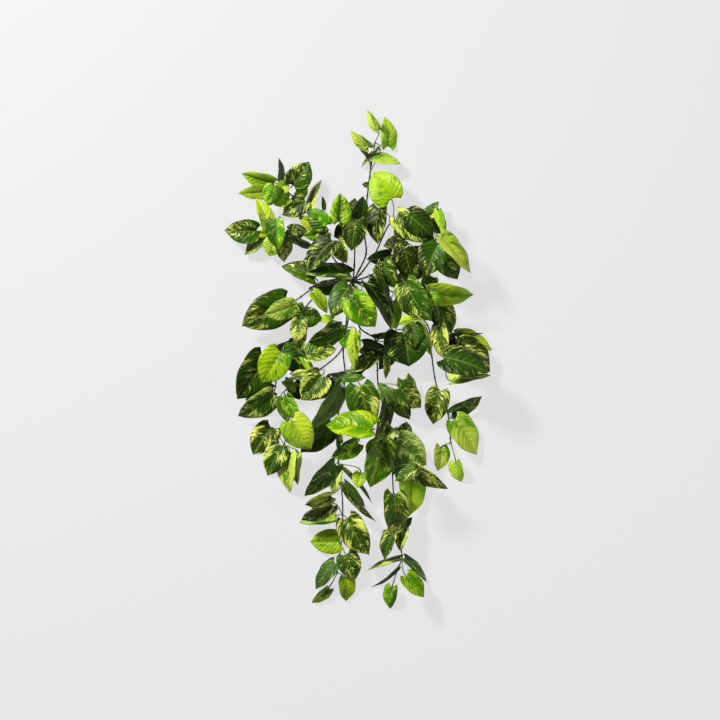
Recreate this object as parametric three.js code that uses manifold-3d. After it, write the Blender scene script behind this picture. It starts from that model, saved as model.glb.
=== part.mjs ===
// A bunch of trailing pothos vines with no pot, laid on its back on a flat surface.
// Millimetres, +Z up. The vines leave a short crown, lie over one another in the order in which they were
// laid, and carry sprigs of heart-shaped leaves. +Y points to the short upper vines and -Y along the long
// trailing ones.

import * as THREE from "three";
import { mergeVertices } from "three/addons/utils/BufferGeometryUtils.js";
import Module from "manifold-3d";

const wasm = await Module();
wasm.setup();

// ---- Driving dimensions ---------------------------------------------------------------------------------
const BUNCH_LENGTH = 855; // tip of the top vine to tip of the longest trailing one
const BUNCH_WIDTH = 458; // left leaf tip to right leaf tip
const LAYOUT_LENGTH = 855; // the length and width that the places below were set out for
const LAYOUT_WIDTH = 458;
const STEM_RADIUS = 1.5;
const STEM_SIDES = 6;
const STEM_STEP = 24; // distance between the rings of a stem
const STEM_RISE = 0.75; // steepest climb of a stem over what it crosses, rise over run
const PETIOLE_RADIUS = 0.9;
const PETIOLE_SIDES = 3;
const PETIOLE_POINTS = 3;
const SHORT_STALK = 14; // a leaf stalk shorter than this is straight
const KNUCKLE_RADIUS = 2.6; // the swelling on the stem that a sprig grows from
const BLADE_THICKNESS = 1.4; // at the midrib
const NATURAL_WIDTH = 0.78; // width over length of a leaf seen flat
const ROLL_SHARE = 0.7; // how much of a narrow outline comes from roll, and not from a narrow leaf
const LOBE = 0.13; // how far the lobes reach back past the leaf stalk, over the leaf's length
const SHOULDER = 0.3; // where a leaf is widest, from base 0 to tip 1
const BASE_SHARE = 0.5; // width across the notch, over the full width
const CROWN_RADIUS = 6.5;
const CROWN_CAP = 5; // the crown's top above its highest stem
const CROWN_PLACE = [-15, -25];
const GAP = 0.35; // free space between neighbouring pieces
const LAYING_GAP = 0.8; // free height left under each leaf and stem as it is laid
const SMALLEST_DETAIL = 0.03; // what a join or a cut leaves below this is smoothed away
const CELL = 2; // grid on which the heights of the pile are kept
const BEND_SEED = 10; // another whole number bends all leaves another way
const DARK_LEAF = 0x2c4a12;
const LIME_LEAF = 0xb0cc4a;
const STEM_COLOR = 0x2a3018;
const CROWN_COLOR = 0x1d1c12;

const across = (x) => (x * BUNCH_WIDTH) / LAYOUT_WIDTH;
const along = (y) => (y * BUNCH_LENGTH) / LAYOUT_LENGTH;

// ---- Layout ---------------------------------------------------------------------------------------------
// Each vine is a list of places on its stem, from the crown outwards: [x, y] where the stem only bends, and
// [x, y, leaves] where a sprig grows. A leaf is [base x, base y, tip x, tip y, width seen from above, tone,
// layer]. Tone runs from dark green 0 to lime 1. Leaves of a low layer are laid first, and those of a high
// layer over them.
// LAYOUT BEGIN
const VINES = {
  top: [
    [-6, -8],
    [7, 22],
    [4, 60],
    [9, 120],
    [14, 162, [[12, 140, 0, 141, 10, 0.1, 2], [30, 202, -2, 169, 8, 0.15, 2],
      [12, 183, -13, 215, 9, 0.15, 2], [20, 185, 67, 176, 20, 0.8, 3]]],
    [22, 212, [[12, 203, -19, 230, 20, 0.7, 4], [44, 205, 39, 257, 28, 0.85, 4],
      [28, 234, 9, 267, 16, 0.75, 5]]],
  ],
  upward: [
    [-13, 4],
    [-12, 64, [[-20, 82, -12, 118, 24, 0.05, 1], [-14, 66, 2, 121, 32, 0.15, 1],
      [-22, 64, -48, 50, 30, 0.1, 2], [-10, 80, -18, 26, 42, 0.25, 4], [-38, 75, -37, 125, 36, 0.6, 5]]],
  ],
  upper_right: [
    [-2, -12],
    [22, 22],
    [52, 78, [[30, 100, 27, 38, 36, 0.2, 3], [50, 114, 20, 162, 57, 0.9, 7]]],
    [84, 88, [[76, 78, 62, 40, 32, 0.1, 1], [74, 86, 101, 91, 26, 0.8, 2], [108, 92, 144, 56, 38, 0.15, 2],
      [112, 80, 131, 111, 19, 0.3, 2], [130, 95, 140, 60, 17, 0.9, 2], [60, 86, 113, 40, 42, 0.5, 3],
      [78, 86, 121, 48, 46, 0.2, 5]]],
  ],
  right: [
    [8, -18],
    [56, 8, [[62, 12, 22, -6, 28, 0.05, 1], [98, 24, 64, -6, 30, 0.1, 1], [104, 0, 70, -24, 26, 0.25, 1],
      [50, 20, 8, 12, 26, 0, 1], [74, 44, 36, 34, 26, 0.05, 1], [30, -2, 64, -36, 28, 0.3, 2],
      [88, -10, 44, -34, 28, 0.45, 2], [72, 30, 88, -26, 42, 0.02, 3], [38, 8, 58, -39, 30, 0.3, 4],
      [22, -8, 47, -62, 15, 0.3, 4]]],
    [96, 34],
    [126, 45, [[134, 30, 164, -22, 46, 0.25, 2], [130, 38, 107, -18, 50, 0.25, 4],
      [132, 49, 184, -13, 30, 0.85, 6]]],
  ],
  right_middle: [
    [20, -30],
    [64, -26, [[50, -62, 58, -108, 30, 1, 2], [85, -88, 62, -99, 15, 1, 3],
      [74, -30, 118, -94, 52, 0.38, 6]]],
    [110, -40, [[130, -66, 153, -114, 44, 0.35, 3], [120, -18, 105, -45, 28, 0.45, 3],
      [115, -45, 190, -49, 38, 0.8, 4], [112, -42, 122, -70, 32, 0.45, 5]]],
  ],
  right_outer: [
    [30, -36],
    [95, -62],
    [128, -98],
    [156, -126, [[162, -122, 223, -142, 34, 1, 1], [153, -115, 208, -114, 7, 0.1, 1],
      [165, -135, 219, -180, 50, 0.3, 2], [152, -195, 219, -186, 26, 0.7, 3],
      [145, -122, 158, -158, 28, 0, 3], [132, -103, 142, -160, 30, 0.45, 4],
      [140, -155, 214, -181, 50, 0.2, 5]]],
  ],
  right_trailing: [
    [22, -44],
    [80, -74],
    [112, -100],
    [119, -150],
    [128, -205, [[133, -212, 121, -270, 42, 0.45, 3]]],
    [147, -252, [[153, -250, 206, -222, 26, 0.3, 2], [158, -262, 196, -322, 46, 0.8, 4]]],
    [152, -302, [[135, -308, 129, -350, 28, 0.7, 3], [160, -333, 170, -369, 24, 0.85, 3]]],
  ],
  upper_left: [
    [-38, 0],
    [-68, 44],
    [-96, 96, [[-65, 98, -68, 121, 8, 0.15, 1], [-87, 100, -69, 150, 15, 0.6, 2],
      [-97, 112, -137, 88, 36, 0.3, 3]]],
    [-129, 130, [[-140, 140, -142, 187, 12, 0.2, 1], [-150, 143, -206, 159, 27, 0.9, 2],
      [-152, 130, -212, 125, 25, 0.85, 2], [-112, 120, -92, 134, 18, 0.95, 2],
      [-125, 118, -150, 104, 21, 1, 3], [-128, 138, -152, 128, 22, 0.95, 3],
      [-118, 138, -90, 178, 44, 0.35, 5], [-148, 135, -161, 103, 35, 0.45, 6]]],
  ],
  left: [
    [-46, -8],
    [-92, 36],
    [-118, 56, [[-125, 60, -92, 60, 27, 0.1, 1], [-118, 50, -76, 31, 14, 0.1, 1]]],
    [-152, 58, [[-165, 50, -201, 20, 24, 0.3, 2], [-162, 57, -184, 57, 14, 1, 2],
      [-180, 60, -235, 62, 42, 0.5, 3], [-158, 62, -181, 118, 27, 0.85, 3],
      [-150, 45, -158, 17, 34, 0.75, 3], [-135, 55, -133, 7, 31, 0.4, 4],
      [-148, 78, -142, 27, 33, 0.3, 6]]],
  ],
  upper_left_short: [
    [-30, 2],
    [-47, 34, [[-82, 22, -101, 10, 6, 0.1, 2], [-56, 44, -86, 18, 26, 0.6, 3],
      [-42, 42, -26, 5, 27, 0.5, 4], [-50, 42, -93, -9, 42, 0.1, 5]]],
    [-62, 62, [[-70, 70, -109, 86, 26, 0.9, 2], [-62, 60, -101, 52, 23, 0.45, 3],
      [-60, 58, -80, 36, 23, 0.7, 4], [-62, 68, -90, 98, 36, 0.35, 5]]],
  ],
  left_middle: [
    [-36, -26],
    [-74, -32, [[-25, -28, -92, -38, 28, 0.05, 2], [-80, -20, -138, 1, 32, 0.25, 3],
      [-22, -15, -98, -14, 28, 0.3, 3], [-85, -45, -59, -80, 22, 0.95, 3]]],
    [-114, -58, [[-120, -70, -108, -98, 17, 0.2, 2], [-118, -58, -104, -80, 13, 0.9, 3],
      [-128, -62, -205, -102, 63, 0.3, 3], [-118, -68, -166, -84, 36, 0.65, 5]]],
  ],
  left_trailing: [
    [-34, -44],
    [-80, -52],
    [-102, -80, [[-96, -70, -116, -112, 32, 0.3, 2], [-103, -100, -103, -142, 25, 0.5, 3],
      [-100, -86, -68, -88, 35, 0.2, 3], [-105, -92, -112, -130, 31, 0.55, 4]]],
    [-118, -122, [[-128, -132, -100, -170, 36, 0.1, 2], [-120, -128, -159, -141, 13, 0.3, 2],
      [-132, -146, -84, -178, 46, 0.15, 3], [-100, -155, -78, -186, 15, 0.9, 3],
      [-95, -150, -43, -141, 35, 0.45, 4]]],
    [-141, -150, [[-166, -155, -213, -227, 62, 0.15, 2], [-138, -146, -171, -199, 54, 0.85, 6]]],
    [-148, -206, [[-152, -212, -200, -228, 27, 0.05, 1], [-152, -218, -212, -256, 42, 0.45, 3]]],
  ],
  lower_left: [
    [-26, -86],
    [-34, -140],
    [-72, -176, [[-68, -186, -103, -228, 50, 0.4, 5]]],
    [-122, -206, [[-118, -200, -106, -228, 29, 0.1, 2], [-132, -195, -112, -215, 17, 0.7, 3],
      [-138, -225, -127, -266, 29, 0.3, 3], [-130, -222, -104, -263, 27, 0.5, 3],
      [-118, -188, -78, -184, 17, 0.5, 4]]],
    [-126, -262, [[-120, -262, -86, -311, 54, 0.95, 6]]],
    [-133, -306, [[-108, -318, -110, -374, 19, 0.6, 1], [-122, -318, -124, -387, 33, 0.7, 2],
      [-155, -275, -187, -322, 47, 0.35, 3], [-137, -306, -162, -358, 41, 0.35, 4]]],
  ],
  long_left: [
    [-18, -62],
    [-26, -104, [[-50, -92, -78, -92, 15, 1, 2], [-46, -100, -62, -140, 32, 0.25, 2],
      [-25, -108, -31, -141, 27, 0.35, 3], [-10, -113, -13, -176, 23, 0.75, 5],
      [-36, -105, -92, -131, 32, 0.3, 6]]],
    [-32, -144],
    [-29, -190, [[-20, -182, -57, -184, 13, 0.3, 2], [0, -185, -50, -195, 23, 0.25, 3],
      [20, -155, -22, -180, 27, 0.4, 4], [-52, -190, -76, -228, 26, 0.1, 1],
      [-35, -205, -89, -275, 32, 0.2, 4], [-3, -203, 15, -275, 56, 0.4, 4]]],
    [-43, -272, [[-52, -265, -105, -318, 46, 0.12, 3], [-42, -288, -42, -318, 9, 0.2, 3],
      [-38, -288, -33, -303, 9, 0.2, 3], [-8, -290, -18, -303, 11, 1, 4],
      [-7, -300, -52, -325, 31, 0.55, 5], [18, -275, -62, -270, 46, 0.8, 7]]],
    [-40, -336, [[-42, -345, -50, -390, 23, 0.5, 2], [-32, -347, 17, -405, 8, 0.15, 3],
      [-45, -338, -98, -392, 33, 0.25, 4], [-2, -352, -8, -378, 25, 0.95, 4]]],
    [-35, -378, [[-53, -392, -98, -408, 25, 0.55, 3], [-30, -369, 6, -411, 13, 0.2, 4],
      [-30, -372, 24, -435, 13, 0.2, 5]]],
    [-33, -424, [[-45, -425, -107, -438, 33, 0.7, 4], [-52, -405, -104, -433, 29, 0.05, 5],
      [-25, -430, 12, -492, 50, 0.42, 6]]],
    [-36, -476, [[-38, -470, -89, -471, 43, 0.8, 4], [-28, -492, -10, -534, 41, 0.35, 4]]],
    [-42, -524, [[-57, -550, -86, -576, 19, 0.6, 2], [-46, -507, -80, -552, 27, 0.4, 3],
      [-28, -530, -27, -573, 29, 0.7, 3]]],
  ],
  long_right: [
    [-8, -62, [[8, -28, 50, -108, 32, 0.05, 3], [-22, -35, -52, -88, 42, 0.4, 5],
      [-18, -55, 23, -104, 52, 0.75, 7]]],
    [-4, -104],
    [24, -126, [[85, -92, 119, -153, 27, 0.75, 1], [62, -138, 28, -176, 30, 0.1, 1],
      [2, -135, 50, -150, 32, 0, 2], [41, -155, 40, -193, 13, 0.4, 2], [42, -115, 14, -117, 11, 0.15, 3],
      [72, -112, 80, -171, 74, 0.2, 3], [85, -100, 90, -140, 37, 0.2, 5]]],
    [26, -165],
    [28, -204, [[68, -240, 84, -255, 15, 0, 1], [28, -208, 62, -238, 27, 0.3, 3],
      [80, -222, 79, -181, 23, 0.35, 3], [70, -208, 61, -188, 13, 0.4, 3],
      [64, -206, 101, -241, 42, 0.35, 4], [60, -214, 82, -262, 32, 0.15, 1],
      [42, -232, 22, -292, 25, 0.1, 5]]],
    [42, -262],
    [47, -292, [[72, -290, 76, -265, 25, 0.35, 2], [52, -275, 30, -310, 29, 0.55, 3],
      [50, -298, 62, -346, 34, 0.1, 2], [40, -305, 12, -335, 31, 0.15, 3], [22, -300, 7, -318, 19, 0.95, 4],
      [58, -300, 110, -339, 62, 0.45, 4], [35, -300, 14, -377, 52, 0.4, 5]]],
    [52, -348, [[82, -355, 80, -428, 46, 0.95, 3], [55, -347, 90, -337, 15, 0.2, 4],
      [85, -350, 122, -376, 27, 0.3, 4], [62, -352, 96, -366, 26, 0.1, 1],
      [88, -342, 146, -379, 25, 0.5, 5], [92, -345, 56, -364, 25, 0.35, 6]]],
    [54, -388],
    [62, -438, [[68, -450, 86, -428, 15, 0.2, 3], [72, -448, 65, -486, 21, 0.5, 3],
      [55, -450, 38, -501, 25, 0.3, 4], [54, -388, 52, -462, 44, 0.35, 5]]],
    [69, -500, [[61, -515, 15, -549, 7, 0.2, 2], [66, -498, 9, -518, 10, 0.5, 3],
      [73, -499, 111, -539, 15, 0.25, 3], [75, -527, 106, -564, 31, 0.6, 3],
      [52, -547, 48, -586, 24, 0.65, 3]]],
  ],
};
// LAYOUT END

// ---- Solids ---------------------------------------------------------------------------------------------
const solidFrom = (vertices, triangles) =>
  new wasm.Manifold(
    new wasm.Mesh({
      numProp: 3,
      vertProperties: new Float32Array(vertices.flatMap((v) => v.toArray())),
      triVerts: new Uint32Array(triangles.flat()),
    }),
  );

function solidOf(geometry) {
  const bare = geometry.clone().deleteAttribute("normal").deleteAttribute("uv");
  const merged = mergeVertices(bare, 1e-4);
  return new wasm.Manifold(
    new wasm.Mesh({
      numProp: 3,
      vertProperties: merged.attributes.position.array,
      triVerts: new Uint32Array(merged.index.array),
    }),
  );
}

function geometryOf(solid) {
  const mesh = solid.asOriginal().simplify(SMALLEST_DETAIL).getMesh();
  const positions = new Float32Array(mesh.numVert * 3);
  for (let i = 0; i < mesh.numVert; i++)
    positions.set(mesh.vertProperties.subarray(i * mesh.numProp, i * mesh.numProp + 3), i * 3);
  return new THREE.BufferGeometry()
    .setAttribute("position", new THREE.BufferAttribute(positions, 3))
    .setIndex(new THREE.BufferAttribute(mesh.triVerts, 1));
}

const largestPiece = (solid) => solid.decompose().reduce((a, b) => (b.volume() > a.volume() ? b : a));

// A round bar along a line of points, closed at both ends.
function bar(points, radius, sides) {
  const section = new THREE.Shape();
  for (let i = 0; i < sides; i++) {
    const turn = (2 * Math.PI * i) / sides;
    section[i ? "lineTo" : "moveTo"](radius * Math.cos(turn), radius * Math.sin(turn));
  }
  return solidOf(
    new THREE.ExtrudeGeometry(section, {
      steps: points.length - 1,
      extrudePath: evenlyStepped(points),
      bevelEnabled: false,
    }),
  );
}

// A curve whose even steps fall on the given points.
function evenlyStepped(points) {
  const curve = new THREE.CatmullRomCurve3(points);
  curve.getPointAt = (u) => {
    const place = u * (points.length - 1);
    const i = Math.min(Math.floor(place), points.length - 2);
    return points[i].clone().lerp(points[i + 1], place - i);
  };
  curve.getTangentAt = (u) => {
    const i = Math.round(u * (points.length - 1));
    const before = points[Math.max(i - 1, 0)];
    const after = points[Math.min(i + 1, points.length - 1)];
    return after.clone().sub(before).normalize();
  };
  return curve;
}

// ---- Leaf -----------------------------------------------------------------------------------------------
// A repeatable share from 0 to 1 for leaf number n, so that no two leaves bend alike.
const vary = (n, k) => (((n + BEND_SEED) * 37 + k * 61 + (n + BEND_SEED) * k * 17) % 101) / 100;

// Half width at s, over the widest half width.
function fullness(s) {
  if (s < SHOULDER) {
    const q = s / SHOULDER;
    return BASE_SHARE + (1 - BASE_SHARE) * Math.sqrt(q * (2 - q));
  }
  const q = (s - SHOULDER) / (1 - SHOULDER);
  return Math.pow(Math.max(0, 1 - Math.pow(q, 2.1)), 0.9) * (1 - 0.45 * Math.pow(q, 8));
}

// The surface of leaf n as a function of s, from base 0 to tip 1, t, from side -1 to side 1, and the height
// over it.
function leafSurface([baseX, baseY, tipX, tipY, seenWidth], n) {
  const base = new THREE.Vector3(across(baseX), along(baseY), 0);
  const run = new THREE.Vector3(across(tipX), along(tipY), 0).sub(base);
  const pitch = THREE.MathUtils.degToRad(8 - 26 * vary(n, 1));
  const length = run.length() / Math.cos(pitch);
  const flatness = Math.min(1, seenWidth / (NATURAL_WIDTH * length));
  const side = vary(n, 2) < 0.5 ? -1 : 1;
  const roll = side * (ROLL_SHARE * Math.acos(flatness) + 0.16 * vary(n, 5));
  const halfWidth = seenWidth / Math.cos(roll) / 2;
  const arch = (0.16 + 0.24 * vary(n, 3)) * length;
  const bow = 0.24 * (vary(n, 4) - 0.5) * length;
  const fold = 0.08 + 0.22 * vary(n, 6);

  const level = run.clone().normalize();
  const midrib = level.clone().multiplyScalar(Math.cos(pitch)).setZ(Math.sin(pitch));
  const flatSide = new THREE.Vector3(-level.y, level.x, 0);
  const flatUp = new THREE.Vector3().crossVectors(midrib, flatSide);
  const sideways = flatSide.clone().multiplyScalar(Math.cos(roll)).addScaledVector(flatUp, Math.sin(roll));
  const up = flatUp.clone().multiplyScalar(Math.cos(roll)).addScaledVector(flatSide, -Math.sin(roll));

  return (s, t, height) => {
    const reach = length * (s - LOBE * t * t * Math.pow(1 - s, 4));
    const aside = t * halfWidth * fullness(s);
    return base
      .clone()
      .addScaledVector(midrib, reach)
      .addScaledVector(sideways, aside + bow * s * (1 - s))
      .addScaledVector(up, arch * s * (1 - s) + fold * Math.abs(aside) + height);
  };
}

// The blade as a thin solid: sharp at its margin and thickest along the midrib.
const STATIONS = [0, 0.1, 0.3, 0.55, 0.8, 1];
function blade(surface) {
  const vertices = [];
  const add = (s, t, height) => vertices.push(surface(s, t, height)) - 1;
  const rows = STATIONS.map((s, i) => {
    if (s === 1) {
      const tip = add(1, 0, 0);
      return { left: tip, right: tip, top: tip, under: tip };
    }
    const left = add(s, 1, 0);
    const right = add(s, -1, 0);
    const top = add(s, 0, i ? BLADE_THICKNESS / 2 : 0);
    return { left, right, top, under: i ? add(s, 0, -BLADE_THICKNESS / 2) : top };
  });
  const triangles = [];
  const quad = (a, b, c, d) => triangles.push([a, b, c], [a, c, d]);
  rows.slice(1).forEach((far, i) => {
    const near = rows[i];
    quad(far.top, far.left, near.left, near.top);
    quad(near.right, far.right, far.top, near.top);
    quad(near.left, far.left, far.under, near.under);
    quad(far.under, far.right, near.right, near.under);
  });
  return solidFrom(
    vertices,
    triangles.filter(([a, b, c]) => a !== b && b !== c && a !== c),
  );
}

// ---- The pile -------------------------------------------------------------------------------------------
// The height of all that has been laid so far, on a square grid.
class Pile {
  heights = new Map();

  static cell(x, y) {
    return `${Math.round(x / CELL)},${Math.round(y / CELL)}`;
  }

  heightNear(x, y, radius = CELL) {
    let highest = 0;
    for (let dx = -radius; dx <= radius; dx += CELL)
      for (let dy = -radius; dy <= radius; dy += CELL)
        highest = Math.max(highest, this.heights.get(Pile.cell(x + dx, y + dy)) ?? 0);
    return highest;
  }

  // Points on the surface of a solid, close enough together to touch every cell under it.
  static pointsOn(solid) {
    const mesh = solid.getMesh();
    const corner = (i) => new THREE.Vector3().fromArray(mesh.vertProperties, mesh.triVerts[i] * mesh.numProp);
    const points = [];
    for (let i = 0; i < mesh.triVerts.length; i += 3) {
      const [a, b, c] = [corner(i), corner(i + 1), corner(i + 2)];
      const steps = Math.ceil(Math.max(a.distanceTo(b), b.distanceTo(c), c.distanceTo(a)) / (CELL * 0.7));
      for (let j = 0; j <= steps; j++)
        for (let k = 0; k <= steps - j; k++)
          points.push(
            a
              .clone()
              .multiplyScalar((steps - j - k) / steps)
              .addScaledVector(b, j / steps)
              .addScaledVector(c, k / steps),
          );
    }
    return points;
  }

  add(solid) {
    for (const p of Pile.pointsOn(solid)) {
      const cell = Pile.cell(p.x, p.y);
      this.heights.set(cell, Math.max(this.heights.get(cell) ?? 0, p.z));
    }
  }

  // How far a solid has to rise to lie clear of the pile.
  riseOf(solid) {
    const lowest = new Map();
    for (const p of Pile.pointsOn(solid)) {
      const cell = Pile.cell(p.x, p.y);
      if (!(lowest.get(cell)?.z <= p.z)) lowest.set(cell, p);
    }
    return Math.max(...[...lowest.values()].map((p) => this.heightNear(p.x, p.y) - p.z)) + LAYING_GAP;
  }
}

// ---- Stems, petioles and sprigs -------------------------------------------------------------------------
const crownPlace = new THREE.Vector3(across(CROWN_PLACE[0]), along(CROWN_PLACE[1]), 0);

// The stem's line over the pile, at even steps from the crown.
function stemLine(nodes, pile) {
  const places = nodes.map(([x, y]) => new THREE.Vector3(across(x), along(y), 0));
  const outward = places[0].clone().sub(crownPlace).setLength(CROWN_RADIUS + GAP + STEM_RADIUS);
  const plan = new THREE.CatmullRomCurve3([crownPlace.clone().add(outward), ...places], false, "centripetal");
  const steps = Math.max(2, Math.round(plan.getLength() / STEM_STEP));
  const fine = plan.getSpacedPoints(steps * 5);
  const spacing = plan.getLength() / (steps * 5);
  const needed = fine.map((p) => pile.heightNear(p.x, p.y, STEM_RADIUS + CELL) + LAYING_GAP + STEM_RADIUS);
  const eased = needed.map((_, i) =>
    Math.max(...needed.map((z, j) => z - STEM_RISE * spacing * Math.abs(i - j))),
  );
  const line = [];
  for (let i = 0; i < fine.length; i += 5)
    line.push(fine[i].clone().setZ(Math.max(...eased.slice(Math.max(0, i - 5), i + 6))));
  return line;
}

function nearestOn(line, place) {
  let best = null;
  line.slice(1).forEach((end, i) => {
    const segment = new THREE.Line3(line[i], end);
    const level = new THREE.Line3(line[i].clone().setZ(0), end.clone().setZ(0));
    const share = level.closestPointToPointParameter(place, true);
    const point = segment.at(share, new THREE.Vector3());
    const distance = point.clone().setZ(0).distanceTo(place);
    if (!best || distance < best.distance) best = { point, distance };
  });
  return best.point;
}

// The leaf stalk's line: out of the knuckle, over whatever lies between, and into the base of the blade.
function petioleLine(from, surface, pile) {
  const end = surface(0.07, 0, 0);
  if (from.distanceTo(end) < SHORT_STALK) return [from, end];
  const inward = surface(0.3, 0, 0).sub(end);
  const approach = end.clone().addScaledVector(inward.setZ(0).normalize(), -0.4 * from.distanceTo(end));
  const curve = new THREE.QuadraticBezierCurve3(from, approach, end);
  return curve.getPoints(PETIOLE_POINTS - 1).map((p, i, all) => {
    if (i === 0 || i === all.length - 1) return p;
    return p.setZ(Math.max(p.z, pile.heightNear(p.x, p.y) + LAYING_GAP + PETIOLE_RADIUS));
  });
}

const knuckleSolid = (place) =>
  solidOf(new THREE.IcosahedronGeometry(KNUCKLE_RADIUS, 0).translate(place.x, place.y, place.z));

// ---- Laying the bunch -----------------------------------------------------------------------------------
const pile = new Pile();
const stems = [];
const sprigs = [];

// The stems lie lowest, each over those already laid, and the knuckles of the sprigs sit on them.
for (const [vine, nodes] of Object.entries(VINES)) {
  const line = stemLine(nodes, pile);
  const solid = bar(line, STEM_RADIUS, STEM_SIDES);
  pile.add(solid);
  stems.push({ name: `stem_${vine}`, vine, nodes, line, solid });
}
for (const { vine, nodes, line } of stems) {
  const leafy = nodes.filter(([, , leaves]) => leaves);
  leafy.forEach(([x, y, leaves], i) => {
    const knuckle = nearestOn(line, new THREE.Vector3(across(x), along(y), 0));
    knuckle.z = pile.heightNear(knuckle.x, knuckle.y) + KNUCKLE_RADIUS + GAP;
    const solid = knuckleSolid(knuckle);
    sprigs.push({ name: `sprig_${vine}_${i + 1}`, knuckle, solid, leaves, stalks: [] });
  });
}
sprigs.forEach(({ solid }) => pile.add(solid));

// The leaves lie over them, layer by layer, each as low as what is under it allows.
const leaves = sprigs.flatMap((sprig) => sprig.leaves.map((row) => ({ sprig, row, layer: row[6] })));
leaves.forEach((leaf, i) => (leaf.number = i));
leaves.sort((a, b) => a.layer - b.layer || a.number - b.number);
leaves.forEach(({ sprig, row, number }) => {
  const flat = leafSurface(row, number);
  const rise = pile.riseOf(blade(flat));
  const surface = (s, t, height) => flat(s, t, height).add(new THREE.Vector3(0, 0, rise));
  const line = petioleLine(sprig.knuckle, surface, pile);
  const stalk = bar(line, PETIOLE_RADIUS, PETIOLE_SIDES);
  const leaf = blade(surface);
  pile.add(leaf);
  pile.add(stalk);
  sprig.stalks.push(line);
  sprig.solid = sprig.solid.add(leaf).add(stalk);
});

// A piece is notched where the stalk of another sprig comes up past it.
for (const sprig of sprigs)
  for (const other of sprigs)
    for (const line of other === sprig ? [] : other.stalks) {
      const clearance = bar(line, PETIOLE_RADIUS + GAP, PETIOLE_SIDES * 2);
      if (sprig.solid.intersect(clearance).volume() > 0)
        sprig.solid = largestPiece(sprig.solid.subtract(clearance));
    }

// ---- The crown ------------------------------------------------------------------------------------------
const crownTop = Math.max(...stems.map(({ line }) => line[0].z)) + STEM_RADIUS + CROWN_CAP;
const crownProfile = [
  [0, 0],
  [CROWN_RADIUS * 0.85, 0],
  [CROWN_RADIUS, CROWN_RADIUS * 0.3],
  [CROWN_RADIUS, crownTop - CROWN_RADIUS * 0.5],
  [CROWN_RADIUS * 0.6, crownTop],
  [0, crownTop],
].map(([r, z]) => new THREE.Vector2(r, z));
const crownSolid = (grow) =>
  solidOf(
    new THREE.LatheGeometry(crownProfile.map((p) => new THREE.Vector2(p.x ? p.x + grow : 0, p.y)), 12)
      .rotateX(Math.PI / 2)
      .translate(crownPlace.x, crownPlace.y, 0),
  );
const crownHole = crownSolid(GAP);
for (const sprig of sprigs) sprig.solid = largestPiece(sprig.solid.subtract(crownHole));

// ---- The scene graph ------------------------------------------------------------------------------------
const bunch = new THREE.Group();
function piece(name, solid, color, roughness) {
  const mesh = new THREE.Mesh(
    geometryOf(solid),
    new THREE.MeshStandardMaterial({ color, roughness, metalness: 0 }),
  );
  mesh.name = name;
  bunch.add(mesh);
}

// A sprig is as yellow-green as its leaves are on average.
function sprigColor({ leaves }) {
  const tone = leaves.reduce((sum, row) => sum + row[5], 0) / leaves.length;
  return new THREE.Color(DARK_LEAF).lerp(new THREE.Color(LIME_LEAF), tone);
}

piece("crown", crownSolid(0), CROWN_COLOR, 0.7);
stems.forEach(({ name, solid }) => piece(name, solid, STEM_COLOR, 0.55));
sprigs.forEach((sprig) => piece(sprig.name, sprig.solid, sprigColor(sprig), 0.4));

// The origin is the middle of the bunch, on the surface that it lies on.
const box = new THREE.Box3().setFromObject(bunch);
const middle = box.getCenter(new THREE.Vector3());
bunch.position.set(-middle.x, -middle.y, -box.min.z);

export default bunch;
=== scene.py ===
"""A bunch of trailing pothos vines with no pot, laid on a flat surface."""

import math
import random

import bpy
import numpy as np
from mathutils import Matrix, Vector
from mathutils.bvhtree import BVHTree


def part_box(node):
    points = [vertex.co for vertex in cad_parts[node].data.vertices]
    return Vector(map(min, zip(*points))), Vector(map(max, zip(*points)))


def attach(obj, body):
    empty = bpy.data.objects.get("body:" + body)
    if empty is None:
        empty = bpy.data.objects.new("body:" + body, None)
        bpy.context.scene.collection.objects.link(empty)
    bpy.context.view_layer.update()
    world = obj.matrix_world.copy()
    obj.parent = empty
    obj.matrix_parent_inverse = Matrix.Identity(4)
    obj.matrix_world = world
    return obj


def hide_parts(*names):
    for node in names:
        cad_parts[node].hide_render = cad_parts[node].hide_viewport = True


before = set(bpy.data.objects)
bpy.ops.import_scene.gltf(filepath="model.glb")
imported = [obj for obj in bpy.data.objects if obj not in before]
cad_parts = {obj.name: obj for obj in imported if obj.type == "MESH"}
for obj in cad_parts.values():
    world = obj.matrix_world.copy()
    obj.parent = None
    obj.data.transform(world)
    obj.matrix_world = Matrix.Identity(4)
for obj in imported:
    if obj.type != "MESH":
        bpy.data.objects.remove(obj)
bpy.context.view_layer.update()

MM = 0.001
UP = Vector((0, 0, 1))

# Crown and stems.
CROWN_PLACE = (-15 * MM, -25 * MM)
CROWN_RADIUS = 6.5 * MM
CROWN_WAIST = 0.55  # the share of its height at which the crown starts to round off
STEM_RADIUS = 1.5 * MM
STEM_GAP = 0.35 * MM  # between the crown and a stem in CAD
STEM_STEP = 4 * MM  # between two points of a stem's middle line
STEM_DEPTH = 0.93 * STEM_RADIUS  # from the top of the CAD stem to its middle line
LOWEST_STEM = 1.3 * STEM_RADIUS  # leaves room for the nubs at its nodes
ROOT_REACHES = (0.3, 0.65)  # where a stem passes on its way out of the crown
NODE_SWELL = 1.18
NODE_STEP, NODE_TURN = 9, 4  # a bare stem has a node at every ninth point

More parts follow.
